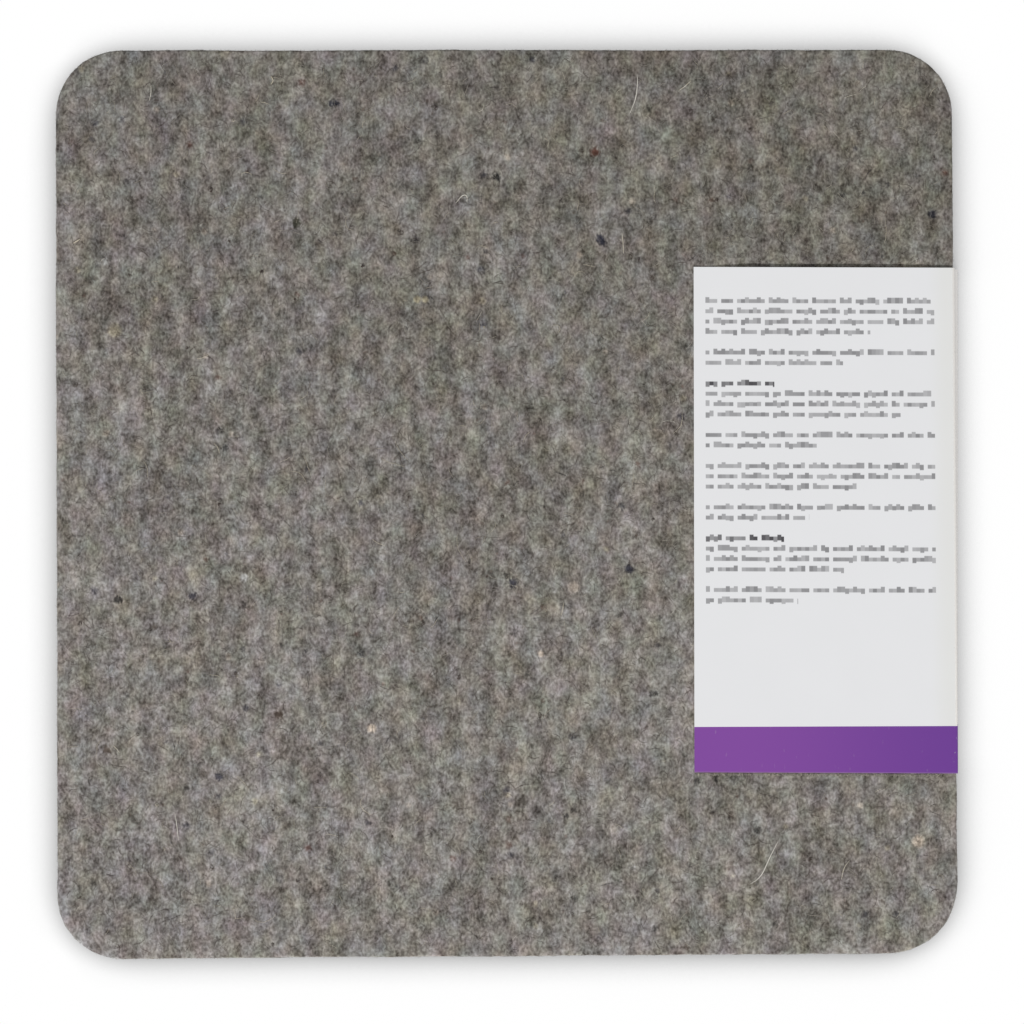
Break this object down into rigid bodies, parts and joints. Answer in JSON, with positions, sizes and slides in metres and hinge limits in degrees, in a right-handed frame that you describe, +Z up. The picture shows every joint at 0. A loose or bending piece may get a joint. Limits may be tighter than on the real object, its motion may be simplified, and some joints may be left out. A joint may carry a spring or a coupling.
{
  "type": "wool pressing mat",
  "caption": "Square felted wool slab with rounded corners, a heat-holding surface for ironing, with a paper card folded round one edge that slides off and opens flat.",
  "frame": {"origin": "middle of the mat's underside, on the surface that it lies on", "axes": "+Z up out of the pressing face, +X towards the edge that the card is folded round, +Y towards the end away from the card's printed band"},
  "size_m": [0.4325, 0.4318, 0.0134],
  "materials": {
    "wool_felt": "matt needled wool felt, mid grey mottled with brown, olive and pale fibres",
    "printed_card": "smooth white coated card with a purple printed band along one end"
  },
  "bodies": {
    "mat": {"wool_mat": "wool_felt"},
    "front_leaf": {"card_front_leaf": "printed_card"},
    "spine": {"card_spine": "printed_card"},
    "back_leaf": {"card_back_leaf": "printed_card"}
  },
  "joints": [
    {"name": "card_pull", "type": "slide", "parent": "mat", "child": "front_leaf", "axis": [1, 0, 0], "range_m": [0, 0.135]},
    {"name": "lower_crease", "type": "hinge", "parent": "front_leaf", "child": "spine", "pos_m": [0.2164, -0.0094, 0.0002], "axis": [0, 1, 0], "range_deg": [0, 90]},
    {"name": "upper_crease", "type": "hinge", "parent": "spine", "child": "back_leaf", "pos_m": [0.2164, -0.0094, 0.0132], "axis": [0, 1, 0], "range_deg": [0, 90]}
  ]
}
